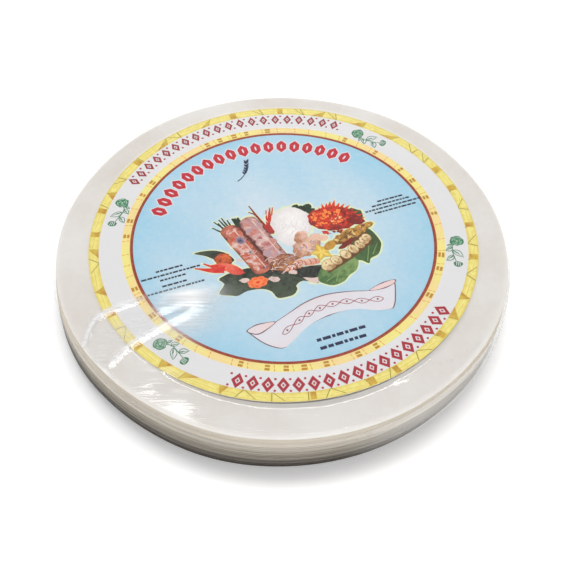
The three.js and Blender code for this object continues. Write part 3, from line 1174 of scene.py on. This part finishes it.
def friedPieces():
    for x, y, a, b, t in ((26.0, -10.6, 4.6, 3.0, 20), (31.6, -8.2, 5.2, 2.8, 18), (38.0, -7.2, 4.6, 2.6, 12),
                          (42.2, -6.4, 3.2, 1.8, 8), (35.4, -10.6, 4.2, 2.2, 22)):
        lay(blob(x, y, a, b, t, 0.16, 16), "fried", "friedDark", 1.0, along((x, y + b), (x, y - b)))
    bits((33.0, -8.8), (10.5, 3.0), 14, 44, 0.85, ("friedLit", "fried", "friedDark", "tan"), 0.7)
    lay(blob(28.0, -14.2, 5.4, 1.5, 24, 0.15), "flowerBrown", "chive", 0.8)
    lay(blob(36.0, -12.4, 4.0, 1.2, 20, 0.15), "friedDark", "mossLeaf", 0.8)


def roll(head, foot, half, tones, patches):
    # a filled roll in a see-through wrapper, its filling showing as soft patches
    head = np.array(head, float)
    foot = np.array(foot, float)
    step = foot - head
    normal = np.array((-step[1], step[0])) / np.hypot(*step)
    turn = math.degrees(math.atan2(step[1], step[0]))
    t = np.linspace(0.0, math.pi, 9)
    unit = step / np.hypot(*step)
    cap = [head + normal * half * math.cos(a) - unit * half * 0.75 * math.sin(a) for a in t]
    base = [foot - normal * half * math.cos(a) * 0.96 + unit * half * 0.5 * math.sin(a) for a in t]
    outline = np.array(cap + base)
    lay(outline, tones[0], "rollEdge", 0.8, across(head, foot, half * 1.12))
    for i in range(patches):
        share = (i + 0.5) / patches
        spot = head + step * share + normal * printRandom.uniform(-0.6, 0.6) * half
        tone = printRandom.choice(tones[1:] + tones[1:3] + tones[:1])
        long = printRandom.uniform(1.4, 3.4)
        lay(blob(spot[0], spot[1], long, long * printRandom.uniform(0.45, 0.85),
                 turn + printRandom.uniform(-60, 60),
                 0.16, 14), tone, tones[0], 1.2, outward(spot, long))
    for share in (0.3, 0.62):
        middle = head + step * share
        lay(stroke([middle - normal * half * 0.86, middle + unit * 1.1, middle + normal * half * 0.86], 0.3),
            "rollPale", tones[0], 0.9)
    lay(stroke([head + normal * half * 0.45, foot + normal * half * 0.4], 0.7, 0.5), "rollPale", tones[0],
        1.4)


def prawnsAndShreds():
    lay(blob(-4.5, -15.6, 8.4, 5.4, -5, 0.12, 20), "tan", "rollEdge", 0.9, outward((-4, -14), 10.0))
    lay(blob(8.4, -9.4, 7.6, 5.6, 20, 0.12, 20), "prawnLit", "tan", 0.7, outward((9, -8), 9.0))
    lay(blob(8.0, -2.6, 4.2, 3.2, 50, 0.1, 16), "tan", "prawnLit", 0.8, along((5, -5), (11, 0)))
    for x, y, t in ((14.4, -4.6, 10), (17.6, -6.6, -20), (11.0, -6.6, 30)):
        lay(blob(x, y, 3.2, 1.9, t, 0.14, 14), "prawnLit", "fried", 0.8)
    for x, y, a, b, t in ((6.6, -19.0, 5.2, 2.3, -12), (1.0, -17.6, 3.6, 1.8, 30),
                          (-2.6, -19.6, 3.8, 1.5, 8)):
        lay(blob(x, y, a, b, t, 0.1, 16), "prawn", "prawnLit", 0.8, along((x, y - b), (x, y + b)))
        for k in (-0.5, 0.0, 0.5):
            lay(stroke([(x + a * k, y - b * 0.7), (x + a * k + 0.5, y), (x + a * k, y + b * 0.7)], 0.3),
                "rollEdge")
    tones = ("tan", "rollPale", "prawn", "rollEdge", "noodle", "fried", "rollLilac", "flowerBrown")
    for _ in range(80):
        x = printRandom.uniform(-12.0, 3.0)
        y = printRandom.uniform(-22.0, -11.0) - 0.12 * x
        heading = math.radians(printRandom.uniform(-60.0, 60.0))
        reach = printRandom.uniform(0.8, 2.0)
        a = np.array((math.cos(heading), math.sin(heading))) * reach
        lay(stroke([(x - a[0], y - a[1]), (x, y + 0.3), (x + a[0], y + a[1])], 0.45, 0.2),
            printRandom.choice(tones), printRandom.choice(tones), 0.4)
    bits((9.0, -10.0), (6.0, 4.0), 20, 26, 0.75, ("prawnLit", "rollPale", "rollLilac", "tan"), 0.5)
    for x, y, a in ((-26.8, -19.2, 2.4), (-13.0, -23.4, 2.9), (-3.2, -22.4, 2.2), (-25.0, -6.6, 1.6)):
        lay(blob(x, y, a, a * 0.6, -20, 0.2, 12), "rollPale", "darkLeafLit", 0.8)


def starFruit():
    middle = np.array((14.2, -15.2))
    for size, ink in ((5.9, "friedDark"), (5.5, "starFruit")):
        points = []
        for k in range(10):
            reach = size if k % 2 == 0 else size * 0.56
            points.append(middle + polar(reach, 96.0 + 36.0 * k))
        lay(smoothPath(points, 2, True), ink, "starFruitLit", 0.7, outward(middle, 9.0))
    for k in range(5):
        lay(leafShape(middle, middle + polar(4.4, 96.0 + 72.0 * k), 1.5), "starFruitLit", "starFruit", 0.6)
    lay(blob(19.6, -12.4, 3.4, 2.4, 30, 0.15, 14), "fried", "friedDark", 0.9)


def beadSkewer():
    lay(stroke([(12.0, -26.2), (26.0, -21.6), (39.0, -15.6)], 5.4, 4.6), "friedDark", "mossLeaf", 0.8)
    places = smoothPath([(14.6, -23.8), (24.6, -20.4), (33.6, -16.8), (38.4, -13.8)], 2)
    for i, (x, y) in enumerate(places):
        half = 3.4 - 0.12 * i
        wide = half * (1.15 if i == 0 else 0.74)
        lay(oval(x, y, wide + 0.3, half * 0.92 + 0.3, 25, 16), "beadShade", "friedDark", 0.5)
        lay(oval(x, y, wide, half * 0.92, 25, 16), "bead", "beadShade", 0.8,
            along((x - 1, y + 1), (x + 2, y - 4)))
        for _ in range(3):
            a = printRandom.uniform(-0.5, 0.5) * wide
            b = printRandom.uniform(-0.5, 0.5) * half
            lay(blob(x + a, y + b, 0.75, 0.42, printRandom.uniform(0, 180), 0.3, 8), "beadShade", "bead", 0.7)


def carrotFlower():
    for k in range(7):
        x, y = np.array((-21.1, -22.4)) + np.array(polar(1.0, 51.4 * k)) * (3.1, 2.0)
        lay(oval(x, y, 2.1, 1.6, 0, 14), "carrot", "carrotLit", 0.6, outward((x, y), 2.6))
    lay(oval(-21.1, -22.4, 2.6, 1.7, 0, 14), "carrotLit", "carrot", 0.6)
    lay(oval(-21.1, -22.4, 1.0, 0.7, 0, 10), "crabRed")


def drawPrint():
    rings()
    friezes()
    for angle, hand in ((144.0, 1), (41.8, -1), (209.0, 1), (338.5, -1)):
        roseSprig(angle, hand)
    ruleLines()
    riceEar()
    ribbon()
    picture()


def printPoints():
    # loose points that carry the soft fades and the label's curl
    step = printLook["gridStep"]
    points = []
    row = 0
    y = -labelRadius + 1.0
    while y < labelRadius - 1.0:
        x = -labelRadius + (step / 2 if row % 2 else 0.0)
        while x < labelRadius:
            inPicture = abs(x) < 48 and -38 < y < 28
            if math.hypot(x, y) < labelRadius - 1.2 and (inPicture or row % 2 == 0):
                points.append((x, y))
            x += step if inPicture else step * 2
        y += step * 0.87
        row += 1
    return points


def printedLabel(material):
    drawPrint()
    flat = []
    edges = []
    for shape in shapes:
        first = len(flat)
        flat += [Vector(p) for p in shape["outline"].tolist()]
        edges += [(i, i + 1) for i in range(first, len(flat) - 1)] + [(len(flat) - 1, first)]
    flat += [Vector(p) for p in printPoints()]
    verts, _, triangles, *_ = geometry.delaunay_2d_cdt(flat, edges, [], 0, 1e-3, False)
    spots = np.array([(v[0], v[1]) for v in verts])
    x, y = swung(spots[:, 0], spots[:, 1], printLook["turn"])
    x = x + pack["labelOffset"][0]
    y = y + pack["labelOffset"][1]
    low = stackHeight + labelLift(x, y)
    high = low + film["labelThickness"]
    points = np.concatenate([np.stack([x, y, high], 1), np.stack([x, y, low], 1)])
    count = len(spots)
    upper = [tuple(t) for t in triangles]
    walked = {(t[k], t[(k + 1) % 3]) for t in upper for k in range(3)}
    rim = [(a, b) for a, b in walked if (b, a) not in walked]
    lower = [(t[2] + count, t[1] + count, t[0] + count) for t in upper]
    wall = [(b, a, a + count, b + count) for a, b in rim]
    piece = meshPiece("printedLabel", points, upper + lower + wall, material, smooth=False)
    inkShape(piece.data, upper, spots)
    return piece


def covered(outline, spots):
    # which spots lie inside a closed outline
    start = outline[:, :, None]
    end = np.roll(outline, -1, axis=0)[:, :, None]
    x, y = spots.T
    lean = (end[:, 0] - start[:, 0]) * (y - start[:, 1]) - (x - start[:, 0]) * (end[:, 1] - start[:, 1])
    rising = (start[:, 1] <= y) & (end[:, 1] > y) & (lean > 0)
    falling = (start[:, 1] > y) & (end[:, 1] <= y) & (lean < 0)
    return rising.sum(0) != falling.sum(0)


def inkShape(mesh, upper, spots):
    # each corner gets the two inks of the shape on top of it, the share of the second and the grain
    corners = len(mesh.loops)
    first = np.ones((corners, 4)) * shade(*inks["white"])
    second = first.copy()
    share = np.zeros(corners)
    grain = np.zeros(corners)
    triangle = np.array(upper)
    middles = spots[triangle].mean(1)
    top = np.full(len(upper), -1)
    for number, shape in enumerate(shapes):
        outline = shape["outline"]
        low, high = outline.min(0), outline.max(0)
        near = np.nonzero(((middles > low) & (middles < high)).all(1))[0]
        top[near[covered(outline, middles[near])]] = number
    for number, shape in enumerate(shapes):
        rows = np.nonzero(top == number)[0]
        if len(rows) == 0:
            continue
        places = (rows[:, None] * 3 + np.arange(3)).ravel()
        first[places] = shape["inks"][0]
        second[places] = shape["inks"][1]
        grain[places] = shape["grain"]
        if shape["fade"] is not None:
            share[places] = shape["fade"](spots[triangle[rows].ravel()])
    for name, kind, values, key in (("firstInk", "FLOAT_COLOR", first, "color"),
                                    ("secondInk", "FLOAT_COLOR", second, "color"),
                                    ("inkShare", "FLOAT", share, "value"),
                                    ("inkGrain", "FLOAT", grain, "value")):
        attribute = mesh.attributes.new(name, kind, "CORNER")
        attribute.data.foreach_set(key, np.asarray(values, np.float32).ravel())


printedPaper = {
    "coarse": 420.0,
    "fine": 1400.0,
    "coarseSpread": 2.6,
    "fineSpread": 1.2,
    "wear": 0.05,
    "wearScale": 260.0,
    "wearTone": shade(255, 252, 246),
    "sheen": 0.12,
    "bumpStrength": 0.15,
    "bumpDepth": 0.1 * mm,
    "roughness": 0.42,
}


def printedPaperMaterial():
    look = printedPaper
    material, board = newMaterial("printedPaper")
    place = board.coordinates()
    coarse = board.noise(look["coarse"], 3.0, place)
    fine = board.noise(look["fine"], 1.0, place)
    speckle = (coarse - 0.5) * look["coarseSpread"] + (fine - 0.5) * look["fineSpread"]
    share = (board.stored("inkShare") + speckle * board.stored("inkGrain")).limited()
    tone = board.blend(share, board.stored("firstInk", "Color"), board.stored("secondInk", "Color"))
    wear = board.noise(look["wearScale"], 4.0, place) * look["wear"]
    worn = board.blend(wear.limited(), tone, look["wearTone"])
    surface = board.add("ShaderNodeBsdfPrincipled", {}, {
        "Base Color": worn,
        "Specular IOR Level": look["sheen"],
        "Roughness": look["roughness"],
        "Normal": board.bump(look, fine),
    })
    show(board, surface)
    return material


stageLook = {
    "tone": shade(250, 250, 250),
    "cloudTone": shade(245, 245, 245),
    "glow": 0.3,
    "fill": 0.28,
    "backFill": 0.9,             # the room is brighter behind
    "backFrom": 0.7,
    "backSlope": 8.0,
    "tableHalf": 3.0,            # m
}
# Soft boxes: middle and size in m from the top sheet's middle, brightness, and whether the film mirrors them
softBoxes = {
    "overheadBox": {"middle": (-0.03, 0.3, 1.1), "size": (0.95, 0.7), "brightness": 1.75, "mirrored": False},
    "windowBox": {"middle": (-0.08, 0.955, 3.0), "size": (2.6, 0.91), "brightness": 7.1, "mirrored": True},
    "frontBox": {"middle": (0.5, -1.2, 0.6), "size": (1.2, 0.6), "brightness": 1.8, "mirrored": True},
}
view = {
    "back": 0.32023,             # m from the top sheet's middle to the lens
    "up": 0.36632,
    "aimForward": 0.0236,        # the view's middle lies this far to the front
    "lens": 63.4,
}


def stage():
    look = stageLook
    material, board = newMaterial("paleTable")
    place = board.coordinates()
    tone = board.blend((board.noise(6.0, 2.0, place) * 0.3).limited(), look["tone"], look["cloudTone"])
    show(board, board.add("ShaderNodeBsdfPrincipled", {}, {
        "Base Color": tone, "Roughness": 0.9, "Specular IOR Level": 0.0,
        "Emission Color": look["tone"], "Emission Strength": look["glow"]}))
    mesh = bpy.data.meshes.new("table")
    half = look["tableHalf"]
    mesh.from_pydata([(-half, -half, 0), (half, -half, 0), (half, half, 0), (-half, half, 0)], [],
                     [(0, 1, 2, 3)])
    mesh.materials.append(material)
    placed("table", mesh)

    world = bpy.data.worlds.new("studio")
    world.use_nodes = True
    world.node_tree.nodes.clear()
    room = Board(world.node_tree)
    backwards = room.part(room.coordinates("Generated"), "Y")
    behind = ((backwards - look["backFrom"]) * look["backSlope"]).limited()
    glow = room.add("ShaderNodeBackground", {}, {
        "Color": (1.0, 1.0, 1.0, 1.0), "Strength": behind * look["backFill"] + look["fill"]})
    room.add("ShaderNodeOutputWorld", {}, {"Surface": glow})
    bpy.context.scene.world = world

    topMiddle = Vector((topX * mm, topY * mm, stackHeight * mm))
    for name, box in softBoxes.items():
        lamp = bpy.data.lights.new(name, "AREA")
        lamp.shape = "RECTANGLE"
        lamp.size, lamp.size_y = box["size"]
        lamp.energy = box["brightness"] * math.pi * box["size"][0] * box["size"][1]
        holder = placed(name, lamp)
        holder.location = topMiddle + Vector(box["middle"])
        holder.visible_glossy = box["mirrored"]
        if box["middle"][1] < 0:
            holder.rotation_euler = (-Vector(box["middle"])).to_track_quat("-Z", "Y").to_euler()


def camera():
    lens = bpy.data.cameras.new("camera")
    lens.lens = view["lens"]
    lens.sensor_width = 36.0
    shooter = placed("camera", lens)
    middle = Vector((topX * mm, topY * mm, stackHeight * mm))
    shooter.location = middle + Vector((0.0, -view["back"], view["up"]))
    aim = middle - Vector((0.0, view["aimForward"], 0.0)) - shooter.location
    shooter.rotation_euler = aim.to_track_quat("-Z", "Y").to_euler()
    bpy.context.scene.camera = shooter
    bpy.context.scene.view_settings.view_transform = "Standard"


def keep(piece, node):
    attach(piece, "root")
    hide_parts(node)


camera()
stage()
print("camera, table and light are set")

sheetPile = riceSheets(ricePaperMaterial())
print("rice sheets:", len(sheetPile.data.polygons), "faces")

label = printedLabel(printedPaperMaterial())
print("printed label:", len(label.data.polygons), "faces from", len(shapes), "shapes")

wrapping = clearFilm(clearFilmMaterial())
print("clear film:", len(wrapping.data.polygons), "faces")

keep(sheetPile, "wrapped_stack")
keep(wrapping, "wrapped_stack")
keep(label, "label")
